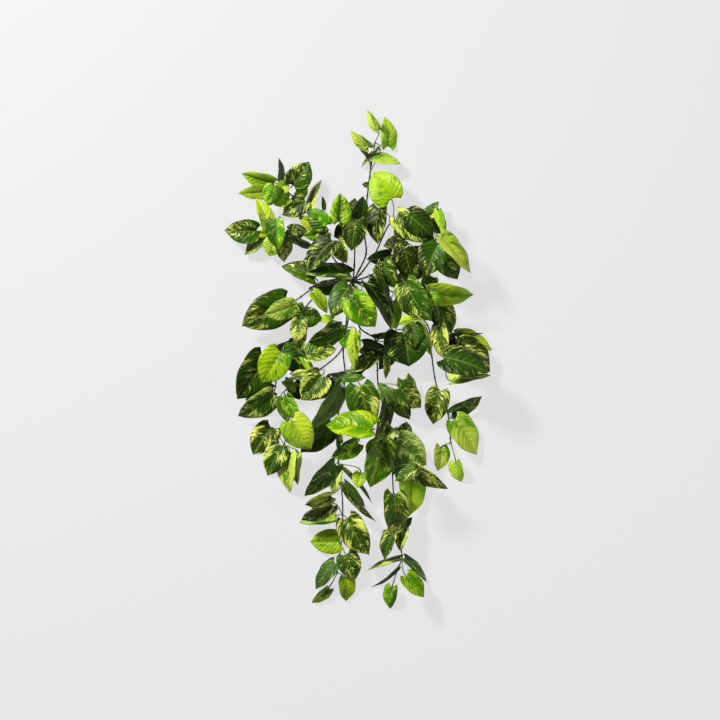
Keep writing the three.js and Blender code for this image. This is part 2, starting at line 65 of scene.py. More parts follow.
# Leaf outline and bends, as shares of the leaf's length or half width.
NATURAL_WIDTH = 0.78  # of a flat leaf
ROLL_SHARE = 0.7  # how much of a narrow outline comes from roll
ROLL_SPREAD = 0.16
LOBE = 0.13  # how far the lobes reach back beside the stalk
SHOULDER = 0.3  # where a leaf is widest
BASE_SHARE = 0.5  # width at the base over the widest
TIP_RISE, TIP_DROP = 8, 26  # degrees
ARCH, ARCH_SPREAD = 0.16, 0.24
BOW = 0.24
FOLD, FOLD_SPREAD = 0.08, 0.22
BEND_SEED = 10
VEIN_SLANT, VEIN_CURVE = 0.34, 1.3
VEINS_FEWEST, VEINS_SPREAD = 4.5, 2
PILLOW = 0.03
MIDRIB_DEPTH, MIDRIB_WIDTH = 0.05, 0.07
MARGIN_WAVE, WAVES = 0.05, 2.2
MARGIN_CURL = 0.16
TIP_CURL, CURL_START = 0.1, 0.7
BLADE_THICKNESS = 0.5 * MM
LEAST_THICKNESS = 0.02 * MM  # at the margin
ROWS_ALONG = 30
ROWS_ACROSS = 16

# How a leaf finds its height from the corners of the CAD leaf.
CORNER_PLACES = [(1, 0), *((s, t) for s in (0.8, 0.55, 0.3, 0.1) for t in (1, -1))]
CORNER_REACH = 0.05 * MM
USUAL_RISE = 0.03  # where no corner is found

# ---- Layout ----------------------------------------------------------------
# Each vine is a list of places on its stem, from the crown outwards, in
# millimetres: [x, y] where the stem only bends, and [x, y, leaves] where a
# sprig grows. A leaf is [base x, base y, tip x, tip y, width, tone, layer] and,
# where it isn't marbled, its leaf kind. Tone is the share of lime. Layer is the
# leaf's place in the pile, from the bottom up: the CAD leaf has its height.
# One kind, the near-black one, is painted shade. Its leaves lie in shadow low in the pile, and their
# real dark green is painted down to near black. Its lime streaks are the real marbling.
MARBLED, EMERALD, SAGE, SHADED_DARK, LIME = range(5)
VINES = {
    "top": [
        [-6, -8],
        [7, 22],
        [4, 60],
        [9, 120],
        [14, 162, [[12, 140, 0, 141, 10, 0.1, 2], [30, 202, -2, 169, 8, 0.15, 2, SHADED_DARK],
            [12, 183, -13, 215, 9, 0.15, 2, SHADED_DARK], [20, 185, 67, 176, 20, 0.8, 3]]],
        [22, 212, [[12, 203, -19, 230, 20, 0.7, 4], [44, 205, 39, 257, 28, 0.95, 4],
            [28, 234, 9, 267, 16, 0.75, 5]]],
    ],
    "upward": [
        [-13, 4],
        [-12, 64, [[-20, 82, -12, 118, 24, 0.05, 1, SHADED_DARK], [-14, 66, 2, 121, 32, 0.15, 1],
            [-22, 64, -48, 50, 30, 0.1, 2, SHADED_DARK], [-10, 80, -18, 26, 42, 0.25, 4],
            [-38, 75, -37, 125, 36, 0.5, 5, EMERALD]]],
    ],
    "upper_right": [
        [-2, -12],
        [22, 22],
        [52, 78, [[30, 100, 27, 38, 36, 0.06, 3, SHADED_DARK], [50, 114, 20, 162, 57, 0.85, 7, LIME]]],
        [84, 88, [[76, 78, 62, 40, 32, 0.1, 1, SHADED_DARK], [74, 86, 101, 91, 26, 0.8, 2],
            [108, 92, 144, 56, 38, 0.15, 2], [112, 80, 131, 111, 19, 0.3, 2],
            [130, 95, 140, 60, 17, 0.9, 2], [60, 86, 113, 40, 42, 0.5, 3],
            [78, 86, 121, 48, 46, 0.05, 5]]],
    ],
    "right": [
        [8, -18],
        [56, 8, [[62, 12, 22, -6, 28, 0.05, 1, SHADED_DARK], [98, 24, 64, -6, 30, 0.1, 1, SHADED_DARK],
            [104, 0, 70, -24, 26, 0.25, 1, SHADED_DARK], [50, 20, 8, 12, 26, 0, 1, SHADED_DARK],
            [74, 44, 36, 34, 26, 0.05, 1, SHADED_DARK], [30, -2, 64, -36, 28, 0.3, 2],
            [88, -10, 44, -34, 28, 0.45, 2], [72, 30, 88, -26, 42, 0.02, 3, SHADED_DARK],
            [38, 8, 58, -39, 30, 0.3, 4], [22, -8, 47, -62, 15, 0.3, 4]]],
        [96, 34],
        [126, 45, [[134, 30, 164, -22, 46, 0.25, 2], [130, 38, 107, -18, 50, 0.15, 4],
            [132, 49, 184, -13, 30, 0.85, 6]]],
    ],
    "right_middle": [
        [20, -30],
        [64, -26, [[50, -62, 58, -108, 30, 1, 2], [85, -88, 62, -99, 15, 1, 3],
            [74, -30, 118, -94, 52, 0.3, 6]]],
        [110, -40, [[130, -66, 153, -114, 44, 0.35, 3], [120, -18, 105, -45, 28, 0.45, 3, EMERALD],
            [115, -45, 190, -49, 38, 0.95, 4], [112, -42, 122, -70, 32, 0.45, 5, EMERALD]]],
    ],
    "right_outer": [
        [30, -36],
        [95, -62],
        [128, -98],
        [156, -126, [[162, -122, 223, -142, 34, 1, 1], [153, -115, 208, -114, 7, 0.1, 1, SHADED_DARK],
            [165, -135, 219, -180, 50, 0.3, 2], [152, -195, 219, -186, 26, 0.7, 3],
            [145, -122, 158, -158, 28, 0, 3, SHADED_DARK], [132, -103, 142, -160, 30, 0.45, 4],
            [140, -155, 214, -181, 50, 0.12, 5]]],
    ],
    "right_trailing": [
        [22, -44],
        [80, -74],
        [112, -100],
        [119, -150],
        [128, -205, [[133, -212, 121, -270, 42, 0.45, 3]]],
        [147, -252, [[153, -250, 206, -222, 26, 0.3, 2], [158, -262, 196, -322, 46, 0.8, 4]]],
        [152, -302, [[135, -308, 129, -350, 28, 0.7, 3], [160, -333, 170, -369, 24, 0.85, 3]]],
    ],
    "upper_left": [
        [-38, 0],
        [-68, 44],
        [-96, 96, [[-65, 98, -68, 121, 8, 0.15, 1, SAGE], [-87, 100, -69, 150, 15, 0.6, 2],
            [-97, 112, -137, 88, 36, 0.15, 3, SHADED_DARK]]],
        [-129, 130, [[-140, 140, -142, 187, 12, 0.2, 1], [-150, 143, -206, 159, 27, 1, 2],
            [-152, 130, -212, 125, 25, 0.95, 2], [-112, 120, -92, 134, 18, 0.95, 2],
            [-125, 118, -150, 104, 21, 1, 3], [-128, 138, -152, 128, 22, 0.95, 3],
            [-118, 138, -90, 178, 44, 0.35, 5], [-148, 135, -161, 103, 35, 0.45, 6, EMERALD]]],
    ],
    "left": [
        [-46, -8],
        [-92, 36],
        [-118, 56, [[-125, 60, -92, 60, 27, 0.1, 1, SHADED_DARK],
            [-118, 50, -76, 31, 14, 0.1, 1, SHADED_DARK]]],
        [-152, 58, [[-165, 50, -201, 20, 24, 0.3, 2, SAGE], [-162, 57, -184, 57, 14, 1, 2],
            [-180, 60, -235, 62, 42, 0.34, 3], [-158, 62, -181, 118, 27, 0.85, 3],
            [-150, 45, -158, 17, 34, 0.75, 3], [-135, 55, -133, 7, 31, 0.4, 4],
            [-148, 78, -142, 27, 33, 0.3, 6, EMERALD]]],
    ],
    "upper_left_short": [
        [-30, 2],
        [-47, 34, [[-82, 22, -101, 10, 6, 0.1, 2], [-56, 44, -86, 18, 26, 0.6, 3],
            [-42, 42, -26, 5, 27, 0.5, 4], [-50, 42, -93, -9, 42, 0.1, 5, SHADED_DARK]]],
        [-62, 62, [[-70, 70, -109, 86, 26, 0.9, 2], [-62, 60, -101, 52, 23, 0.45, 3, EMERALD],
            [-60, 58, -80, 36, 23, 0.7, 4], [-62, 68, -90, 98, 36, 0.35, 5, EMERALD]]],
    ],
    "left_middle": [
        [-36, -26],
        [-74, -32, [[-25, -28, -92, -38, 28, 0.05, 2, SHADED_DARK], [-80, -20, -138, 1, 32, 0.25, 3],
            [-22, -15, -98, -14, 28, 0.3, 3], [-85, -45, -59, -80, 22, 0.95, 3]]],
        [-114, -58, [[-120, -70, -108, -98, 17, 0.2, 2], [-118, -58, -104, -80, 13, 0.9, 3],
            [-128, -62, -205, -102, 63, 0.3, 3], [-118, -68, -166, -84, 36, 0.65, 5]]],
    ],
    "left_trailing": [
        [-34, -44],
        [-80, -52],
        [-102, -80, [[-96, -70, -116, -112, 32, 0.3, 2], [-103, -100, -103, -142, 25, 0.5, 3],
            [-100, -86, -68, -88, 35, 0.2, 3], [-105, -92, -112, -130, 31, 0.55, 4]]],
        [-118, -122, [[-128, -132, -100, -170, 36, 0.1, 2], [-120, -128, -159, -141, 13, 0.3, 2],
            [-132, -146, -84, -178, 46, 0.15, 3], [-100, -155, -78, -186, 15, 0.9, 3],
            [-95, -150, -43, -141, 35, 0.45, 4]]],
        [-141, -150, [[-166, -155, -213, -227, 62, 0.15, 2],
            [-138, -146, -171, -199, 54, 0.68, 6, LIME]]],
        [-148, -206, [[-152, -212, -200, -228, 27, 0.05, 1, SHADED_DARK],
            [-152, -218, -212, -256, 42, 0.45, 3]]],
    ],
    "lower_left": [
        [-26, -86],
        [-34, -140],
        [-72, -176, [[-68, -186, -103, -228, 50, 0.4, 5]]],
        [-122, -206, [[-118, -200, -106, -228, 29, 0.1, 2, SHADED_DARK],
            [-132, -195, -112, -215, 17, 0.7, 3], [-138, -225, -127, -266, 29, 0.3, 3, SAGE],
            [-130, -222, -104, -263, 27, 0.5, 3, EMERALD], [-118, -188, -78, -184, 17, 0.5, 4]]],
        [-126, -262, [[-120, -262, -86, -311, 54, 0.95, 6]]],
        [-133, -306, [[-108, -318, -110, -374, 19, 0.6, 1], [-122, -318, -124, -387, 33, 0.7, 2],
            [-155, -275, -187, -322, 47, 0.35, 3], [-137, -306, -162, -358, 41, 0.35, 4]]],
    ],
    "long_left": [
        [-18, -62],
        [-26, -104, [[-50, -92, -78, -92, 15, 1, 2], [-46, -100, -62, -140, 32, 0.25, 2],
            [-25, -108, -31, -141, 27, 0.35, 3, EMERALD],
            [-10, -113, -13, -176, 23, 0.7, 5, EMERALD], [-36, -105, -92, -131, 32, 0.3, 6]]],
        [-32, -144],
        [-29, -190, [[-20, -182, -57, -184, 13, 0.3, 2, SAGE], [0, -185, -50, -195, 23, 0.25, 3],
            [20, -155, -22, -180, 27, 0.4, 4], [-52, -190, -76, -228, 26, 0.1, 1],
            [-35, -205, -89, -275, 32, 0.2, 4, SAGE], [-3, -203, 15, -275, 56, 0.4, 4]]],
        [-43, -272, [[-52, -265, -105, -318, 46, 0.12, 3], [-42, -288, -42, -318, 9, 0.2, 3],
            [-38, -288, -33, -303, 9, 0.2, 3], [-8, -290, -18, -303, 11, 1, 4],
            [-7, -300, -52, -325, 31, 0.42, 5, EMERALD],
            [18, -275, -62, -270, 46, 0.45, 7, LIME]]],
        [-40, -336, [[-42, -345, -50, -390, 23, 0.5, 2], [-32, -347, 17, -405, 8, 0.15, 3],
            [-45, -338, -98, -392, 33, 0.25, 4], [-2, -352, -8, -378, 25, 0.95, 4]]],
        [-35, -378, [[-53, -392, -98, -408, 25, 0.55, 3], [-30, -369, 6, -411, 13, 0.2, 4],
            [-30, -372, 24, -435, 13, 0.2, 5]]],
        [-33, -424, [[-45, -425, -107, -438, 33, 0.7, 4],
            [-52, -405, -104, -433, 29, 0.2, 5, SHADED_DARK], [-25, -430, 12, -492, 50, 0.42, 6]]],
        [-36, -476, [[-38, -470, -89, -471, 43, 0.82, 4, LIME],
            [-28, -492, -10, -534, 41, 0.35, 4]]],
        [-42, -524, [[-57, -550, -86, -576, 19, 0.5, 2, EMERALD],
            [-46, -507, -80, -552, 27, 0.15, 3], [-28, -530, -27, -573, 29, 0.7, 3, LIME]]],
    ],
    "long_right": [
        [-8, -62, [[8, -28, 50, -108, 32, 0.05, 3, SHADED_DARK], [-22, -35, -52, -88, 42, 0.25, 5],
            [-18, -55, 23, -104, 52, 0.42, 7, EMERALD]]],
        [-4, -104],
        [24, -126, [[85, -92, 119, -153, 27, 0.75, 1], [62, -138, 28, -176, 30, 0.1, 1, SHADED_DARK],
            [2, -135, 50, -150, 32, 0, 2, SHADED_DARK], [41, -155, 40, -193, 13, 0.4, 2],
            [42, -115, 14, -117, 11, 0.15, 3], [72, -112, 80, -171, 74, 0.12, 3],
            [85, -100, 90, -140, 37, 0.2, 5]]],
        [26, -165],
        [28, -204, [[68, -240, 84, -255, 15, 0, 1, SHADED_DARK], [28, -208, 62, -238, 27, 0.3, 3, SAGE],
            [80, -222, 79, -181, 23, 0.35, 3, SAGE], [70, -208, 61, -188, 13, 0.4, 3],
            [64, -206, 101, -241, 42, 0.35, 4], [60, -214, 82, -262, 32, 0.15, 1],
            [42, -232, 22, -292, 25, 0.1, 5, SHADED_DARK]]],
        [42, -262],
        [47, -292, [[72, -290, 76, -265, 25, 0.35, 2], [52, -275, 30, -310, 29, 0.55, 3],
            [50, -298, 62, -346, 34, 0.1, 2], [40, -305, 12, -335, 31, 0.15, 3],
            [22, -300, 7, -318, 19, 0.95, 4], [58, -300, 110, -339, 62, 0.45, 4, SAGE],
            [35, -300, 14, -377, 52, 0.4, 5, EMERALD]]],
        [52, -348, [[82, -355, 80, -428, 46, 1, 3], [55, -347, 90, -337, 15, 0.2, 4],
            [85, -350, 122, -376, 27, 0.3, 4], [62, -352, 96, -366, 26, 0.1, 1],
            [88, -342, 146, -379, 25, 0.5, 5], [92, -345, 56, -364, 25, 0.35, 6]]],
        [54, -388],
        [62, -438, [[68, -450, 86, -428, 15, 0.2, 3], [72, -448, 65, -486, 21, 0.5, 3],
            [55, -450, 38, -501, 25, 0.3, 4], [54, -388, 52, -462, 44, 0.35, 5]]],
        [69, -500, [[61, -515, 15, -549, 7, 0.2, 2], [66, -498, 9, -518, 10, 0.5, 3],
            [73, -499, 111, -539, 15, 0.25, 3], [75, -527, 106, -564, 31, 0.5, 3, LIME],
            [52, -547, 48, -586, 24, 0.35, 3, EMERALD]]],
    ],
}

# ---- Where things lie ------------------------------------------------------
CROWN_LOW, CROWN_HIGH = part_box("crown")
SHIFT = Vector([(CROWN_LOW[i] + CROWN_HIGH[i]) / 2 - CROWN_PLACE[i] for i in (0, 1)] + [0])


def place(x, y, z=0.0):
    """A place of the layout, in the frame."""
    return Vector((x * MM, y * MM, z)) + SHIFT


def crown_middle(z=0.0):
    """The middle of the crown, which every stem leaves."""
    return place(0, 0, z) + Vector((*CROWN_PLACE, 0))


def cad_corners(node):
    """The corners of a CAD node."""
    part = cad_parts[node]
    return [part.matrix_world @ v.co for v in part.data.vertices]


def cad_tree(node):
    """A CAD node's faces, ready to be hit by a ray."""
    faces = [tuple(p.vertices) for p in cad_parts[node].data.polygons]
    return BVHTree.FromPolygons(cad_corners(node), faces)


# ---- Leaf ------------------------------------------------------------------
def vary(n, k):
    """A repeatable share for leaf n, so that no two leaves bend alike."""
    n += BEND_SEED
    return ((n * 37 + k * 61 + n * k * 17) % 101) / 100


def fullness(s):
    """Half width at s, over the widest half width."""
    if s < SHOULDER:
        q = s / SHOULDER
        return BASE_SHARE + (1 - BASE_SHARE) * math.sqrt(q * (2 - q))
    q = (s - SHOULDER) / (1 - SHOULDER)
    return max(0.0, 1 - q**2.1) ** 0.9 * (1 - 0.45 * q**8)


class Leaf:
    """The surface of leaf n over s, from base 0 to tip 1, and t, from side -1 to side 1."""

    def __init__(self, row, n):
        self.number = n
        self.tone = row[5]
        self.kind = row[7] if len(row) > 7 else MARBLED
        self.base = place(row[0], row[1])
        run = place(row[2], row[3]) - self.base
        pitch = math.radians(TIP_RISE - TIP_DROP * vary(n, 1))
        self.length = run.length / math.cos(pitch)
        flatness = min(1.0, row[4] * MM / (NATURAL_WIDTH * self.length))
        side = -1 if vary(n, 2) < 0.5 else 1
        roll = side * (ROLL_SHARE * math.acos(flatness) + ROLL_SPREAD * vary(n, 5))
        self.half_width = row[4] * MM / math.cos(roll) / 2
        self.arch = (ARCH + ARCH_SPREAD * vary(n, 3)) * self.length
        self.bow = BOW * (vary(n, 4) - 0.5) * self.length
        self.fold = FOLD + FOLD_SPREAD * vary(n, 6)
        level = run.normalized()
        lean = math.cos(pitch)
        self.midrib = Vector((level.x * lean, level.y * lean, math.sin(pitch)))
        flat_side = Vector((-level.y, level.x, 0))
        flat_up = self.midrib.cross(flat_side)
        self.sideways = flat_side * math.cos(roll) + flat_up * math.sin(roll)
        self.up = flat_up * math.cos(roll) - flat_side * math.sin(roll)
        self.rise = 0.0

    def plain(self, s, t, height=0.0):
        """A point of the smooth surface, as the CAD leaf has it."""
        reach = self.length * (s - LOBE * t * t * (1 - s) ** 4)
        aside = t * self.half_width * fullness(s)
        return (
            self.base
            + self.midrib * reach
            + self.sideways * (aside + self.bow * s * (1 - s))
            + self.up * (self.arch * s * (1 - s) + self.fold * abs(aside) + height)
            + Vector((0, 0, self.rise))
        )

    def settle(self, corners):
        """Takes the height at which the CAD leaf lies."""
        found = []
        for s, t in CORNER_PLACES:
            guess = self.plain(s, t)
            near = np.hypot(corners[:, 0] - guess.x, corners[:, 1] - guess.y) < CORNER_REACH
            found.extend(corners[near, 2] - guess.z)
        self.rise = float(np.median(found)) if found else USUAL_RISE

    def point(self, s, t):
        """A point of the finished surface, with its veins, pillows, wavy margin and curled tip."""
        n = self.number
        wide = self.half_width
        side = abs(t)
        veins = VEINS_FEWEST + VEINS_SPREAD * vary(n, 7)
        vein = (s - VEIN_SLANT * side**VEIN_CURVE) * veins + vary(n, 18 if t > 0 else 19)
        swell = 0.6 + 0.4 * math.sin(5 * s + 4 * t + 6 * vary(n, 20))
        pillow = PILLOW * wide * swell * (1 - math.cos(2 * math.pi * vein))
        pillow *= min(1, 4 * side) * (1 - side) ** 0.5
        midrib = MIDRIB_DEPTH * wide * math.exp(-((t / MIDRIB_WIDTH) ** 2))
        turn = WAVES * s + vary(n, 8) + 0.3 * math.copysign(1, t)
        wave = MARGIN_WAVE * wide * t**4 * math.sin(2 * math.pi * turn)
        curl = MARGIN_CURL * wide * (0.3 + 0.7 * vary(n, 9)) * t**4
        to_tip = max(0, s - CURL_START) / (1 - CURL_START)
        curl += TIP_CURL / 2 * self.length * vary(n, 10) * to_tip**2
        return self.plain(s, t, (pillow - midrib + wave - curl) * fullness(s) ** 0.5)


# ---- Colours ---------------------------------------------------------------
def paint(code):
    """A screen colour as linear red, green, blue and alpha."""
    parts = [int(code[i : i + 2], 16) / 255 for i in (1, 3, 5)]
    return [*((c / 12.92 if c < 0.04 else ((c + 0.055) / 1.055) ** 2.4) for c in parts), 1.0]


# Ground colour, streak colour and second ground colour for each leaf kind.
LEAF_PAINTS = {
    MARBLED: (paint("#1c3802"), paint("#dfec68"), paint("#315a06")),
    EMERALD: (paint("#4c9000"), paint("#b8da3c"), paint("#265200")),
    SAGE: (paint("#688830"), paint("#b3c868"), paint("#4a6c14")),
    # Near-black ground and second green: painted shade over a dark green leaf that lies in shadow.
    SHADED_DARK: (paint("#0f1b00"), paint("#c6de5a"), paint("#1a2e00")),
    LIME: (paint("#5c8c00"), paint("#aac81a"), paint("#3f7a00")),
}
YOUNG_PAINTS = (paint("#74a600"), paint("#c2e02c"), paint("#4a9000"))
# The leaves painted near-black for shade get extra lime marbling.
SHADED_DARK_TONE = 0.2  # more marbling, as it shows less on a dark leaf
YOUNG_TONE = 0.55  # from this tone up a leaf is young
DARKEST, SHADE_SPREAD = 0.75, 0.5
COOLEST, WARMTH_SPREAD = 0.9, 0.2


class LeafPaint:
    """The colours of one leaf. Young leaves are paler, and part of each has the second green."""

    def __init__(self, leaf):
        n = leaf.number
        self.number = n
        past = max(0.0, leaf.tone - YOUNG_TONE) / (1 - YOUNG_TONE)
        self.young = past if leaf.kind == MARBLED else 0.0
        soon = min(1, 1.5 * self.young)
        shares = (soon, self.young, soon)
        ground, streak, second = (
            Vector(old[:3]).lerp(Vector(new[:3]), share)
            for old, new, share in zip(LEAF_PAINTS[leaf.kind], YOUNG_PAINTS, shares)
        )
        shade = DARKEST + SHADE_SPREAD * vary(n, 11)
        warm = COOLEST + WARMTH_SPREAD * vary(n, 12)
        self.ground = Vector((ground.x * warm, ground.y, ground.z / warm)) * shade
        self.second = Vector((second.x * warm, second.y, second.z / warm)) * shade
        self.streak = Vector((streak.x * warm, streak.y, streak.z)) * (0.9 + 0.15 * vary(n, 13))
        self.tone = leaf.tone + (SHADED_DARK_TONE if leaf.kind == SHADED_DARK else 0)
        self.turned = 1 if vary(n, 16) < 0.5 else -1

    def zone(self, s, t):
        """The share of the second green, on one half, the base or the middle of the leaf."""
        n = self.number
        pick = vary(n, 15)
        if pick < 0.4:
            share = 0.5 + 1.1 * self.turned * t
        elif pick < 0.7:
            share = 1.15 - 1.7 * s + 0.3 * self.turned * t
        else:
            share = 1.15 - 1.5 * abs(t)
        share += 0.22 * math.sin(7 * s + 5 * t + 6 * vary(n, 17))
        share += 0.12 * math.sin(19 * s - 9 * abs(t))
        share = min(1.0, max(0.0, share))
        return share * share * (3 - 2 * share)

    def at(self, s, t):
        """Ground colour, streak colour and tone at a place on the leaf."""
        zone = self.zone(s, t)
        ground = self.ground.lerp(self.second, zone)
        streak = self.streak.lerp(self.second, (0.15 + 0.4 * self.young) * zone)
        tone = self.tone + (0.14 - 0.3 * zone) * (0.5 + self.young)
        return [*ground, 1.0], [*streak, 1.0], tone


# ---- Shader groups ---------------------------------------------------------
class Nodes:
    """Short hand for adding and joining nodes in a tree."""

    def __init__(self, tree):
        self.tree = tree

    def add(self, kind, **settings):
        node = self.tree.nodes.new(kind)
        for name, value in settings.items():
            setattr(node, name, value)
        return node

    def join(self, out, into):
        """Links an output to an input, or sets the input to a plain value."""
        if hasattr(out, "is_output"):
            self.tree.links.new(out, into)
        else:
            into.default_value = out

    def math(self, operation, *values):
        node = self.add("ShaderNodeMath", operation=operation)
        for value, socket in zip(values, node.inputs):
            self.join(value, socket)
        return node.outputs[0]

    def plus(self, a, b):
        return self.math("ADD", a, b)

    def minus(self, a, b):
        return self.math("SUBTRACT", a, b)

    def times(self, a, b):
        return self.math("MULTIPLY", a, b)

    def mix(self, share, a, b):
        """Goes from colour a to colour b by the share."""
        node = self.add("ShaderNodeMix", data_type="RGBA")
        self.join(share, node.inputs[0])
        self.join(a, node.inputs[6])
        self.join(b, node.inputs[7])
        return node.outputs[2]

    def ease(self, value, start, end, low=0.0, high=1.0):
        """Goes smoothly from low to high while the value goes from start to end."""
        node = self.add("ShaderNodeMapRange", interpolation_type="SMOOTHSTEP")
        for given, socket in zip((value, start, end, low, high), node.inputs):
            self.join(given, socket)
        return node.outputs[0]

    def noise(self, vector, scale, detail=2.0, roughness=0.5, distortion=0.0):
        node = self.add("ShaderNodeTexNoise")
        self.join(vector, node.inputs["Vector"])
        self.join(scale, node.inputs["Scale"])
        self.join(detail, node.inputs["Detail"])
        self.join(roughness, node.inputs["Roughness"])
        self.join(distortion, node.inputs["Distortion"])
        return node.outputs["Fac"]

    def vector(self, x, y, z):
        node = self.add("ShaderNodeCombineXYZ")
        for value, socket in zip((x, y, z), node.inputs):
            self.join(value, socket)
        return node.outputs[0]


FLOAT = "NodeSocketFloat"


def shader_group(name, inputs, outputs):
    """A new group, with its inputs' defaults by name and its outputs' names."""
    tree = bpy.data.node_groups.new(name, "ShaderNodeTree")
    for label, default in inputs.items():
        socket = tree.interface.new_socket(label, in_out="INPUT", socket_type=FLOAT)
        socket.default_value = default
    for label in outputs:
        tree.interface.new_socket(label, in_out="OUTPUT", socket_type=FLOAT)
    nodes = Nodes(tree)
    return tree, nodes, nodes.add("NodeGroupInput").outputs, nodes.add("NodeGroupOutput").inputs


# Marbling: marks along and across a leaf, their share, and where a mark ends.
FINE_MARKS, FINE_SHARE = (25.0, 2.0), 0.52
BROAD_MARKS, BROAD_SHARE = (3.6, 1.8), 0.38
SPOTS, SPOT_SHARE = (52.0, 24.0), 0.1
SWAYS, SWAY_SHARE = (4.0, 3.0), 0.16
EDGE, EDGE_BY_TONE = 0.672, 0.3
STREAK_EDGE, HALO_EDGE = (0.01, 0.014), (0.075, 0.01)


def make_leaf_pattern():
    """Marbling that runs along the side veins, and the veins themselves."""
    tree, n, given, out = shader_group(
        "leaf_pattern",
        {"Along": 0.5, "Across": 0.0, "Tone": 0.5, "Seed": 0.0, "Vein Count": 7.0},
        ("Streak", "Halo", "Veins", "Midrib", "Margin", "Relief"),
    )
    along, across, tone, seed, count = (given[i] for i in range(5))
    side = n.math("ABSOLUTE", across)
    depth = n.times(seed, 57.0)

    def marks(line, per_leaf, depth, *settings):
        where = n.vector(n.times(line, per_leaf[0]), n.times(across, per_leaf[1]), depth)
        return n.noise(where, 1.0, *settings)

    sway = marks(along, SWAYS, depth, 1.0)
    slant = n.times(n.math("POWER", side, VEIN_CURVE), VEIN_SLANT)
    vein_line = n.minus(along, n.plus(slant, n.times(sway, SWAY_SHARE)))
    fine = marks(vein_line, FINE_MARKS, depth, 3.0, 0.62, 0.35)
    broad = marks(vein_line, BROAD_MARKS, n.plus(depth, 9.0), 1.0)
    spots = marks(along, SPOTS, depth, 2.0)
    coarse = n.plus(n.times(broad, BROAD_SHARE), n.times(spots, SPOT_SHARE))
    blend = n.plus(n.times(fine, FINE_SHARE), coarse)
    edge = n.minus(EDGE, n.times(tone, EDGE_BY_TONE))
    for name, (below, above) in (("Streak", STREAK_EDGE), ("Halo", HALO_EDGE)):
        n.join(n.ease(blend, n.minus(edge, below), n.plus(edge, above)), out[name])
    wave = n.math("PINGPONG", n.times(vein_line, count), 0.5)
    fade = n.ease(side, 0.6, 0.95, 1.0, 0.0)
    n.join(n.times(n.ease(wave, 0.0, 0.07, 1.0, 0.0), fade), out["Veins"])
    midrib = n.ease(side, 0.015, 0.06, 1.0, 0.0)
    n.join(midrib, out["Midrib"])
    n.join(n.ease(side, 0.92, 1.0), out["Margin"])
    pillow = n.times(n.times(wave, 1.3), n.ease(broad, 0.3, 0.65, 0.35, 1.2))
    crinkle = n.times(n.plus(n.times(fine, 0.8), n.times(spots, 0.3)), 0.8)
    n.join(n.minus(n.plus(pillow, crinkle), n.times(midrib, 0.7)), out["Relief"])
    return tree


def make_grain():
    """Fine uneven grain for stems and bark: a shade, a roughness and a height."""
    tree, n, given, out = shader_group(
        "plant_grain",
        {"Size": 900.0, "Stretch": 3.0},
        ("Shade", "Roughness", "Height"),
    )
    place_in = n.add("ShaderNodeTexCoord").outputs["Object"]
    rough = n.noise(place_in, given["Size"], 4.0, 0.6)
    broad_size = n.math("DIVIDE", given["Size"], n.times(given["Stretch"], 8.0))
    broad = n.noise(place_in, broad_size, 2.0)
    n.join(n.plus(n.times(rough, 0.4), n.times(broad, 0.6)), out["Shade"])
    n.join(n.ease(rough, 0.3, 0.7, 0.42, 0.7), out["Roughness"])
    n.join(rough, out["Height"])
    return tree


LEAF_PATTERN = make_leaf_pattern()
GRAIN = make_grain()


# ---- Materials -------------------------------------------------------------
def new_material(name):
    material = bpy.data.materials.new(name)
    material.use_nodes = True
    return material, Nodes(material.node_tree), material.node_tree.nodes["Principled BSDF"]


def attribute(n, name, output="Fac"):
    return n.add("ShaderNodeAttribute", attribute_name=name).outputs[output]


BUMP_STRENGTH, LEAF_RELIEF = 0.6, 1.6 * MM
STEM_BUMP = 0.3
GREEN_GLOSS = (0.92, 1.0, 0.68, 1)


def add_bump(n, shader, height, strength, depth):
    bump = n.add("ShaderNodeBump")
    bump.inputs["Strength"].default_value = strength
    bump.inputs["Distance"].default_value = depth
    n.join(height, bump.inputs["Height"])
    n.join(bump.outputs[0], shader.inputs["Normal"])


def leaf_material(name, roughness, gloss, haze=0.0):
    """One face of a leaf, rougher in its hollows. The underside is hazed over."""
    material, n, shader = new_material(name)
    split = n.add("ShaderNodeSeparateXYZ")
    n.join(n.add("ShaderNodeUVMap", uv_map="leaf").outputs[0], split.inputs[0])
    pattern = n.add("ShaderNodeGroup", node_tree=LEAF_PATTERN)
    n.join(split.outputs[0], pattern.inputs["Along"])
    n.join(n.minus(n.times(split.outputs[1], 2.0), 1.0), pattern.inputs["Across"])
    n.join(attribute(n, "tone"), pattern.inputs["Tone"])
    n.join(attribute(n, "seed"), pattern.inputs["Seed"])
    marks = pattern.outputs
    ground = attribute(n, "ground", "Color")
    streak = attribute(n, "streak", "Color")
    colour = n.mix(n.times(marks["Halo"], 0.75), ground, n.mix(0.42, ground, streak))
    colour = n.mix(marks["Streak"], colour, streak)
    pale_vein, green_vein = n.mix(0.35, ground, streak), n.mix(0.55, streak, ground)
    vein_colour = n.mix(marks["Streak"], pale_vein, green_vein)
    colour = n.mix(n.times(marks["Veins"], 0.35), colour, vein_colour)
    colour = n.mix(n.times(marks["Midrib"], 0.55), colour, n.mix(0.4, ground, streak))
    colour = n.mix(n.times(marks["Margin"], 0.5), colour, n.mix(0.2, ground, streak))
    if haze:
        colour = n.mix(haze, colour, paint("#6f8a44"))
    n.join(colour, shader.inputs["Base Color"])
    n.join(n.ease(marks["Relief"], 0.0, 1.0, *roughness), shader.inputs["Roughness"])
    add_bump(n, shader, marks["Relief"], BUMP_STRENGTH, LEAF_RELIEF)
    shader.inputs["Specular IOR Level"].default_value = gloss
    shader.inputs["Specular Tint"].default_value = GREEN_GLOSS
    return material


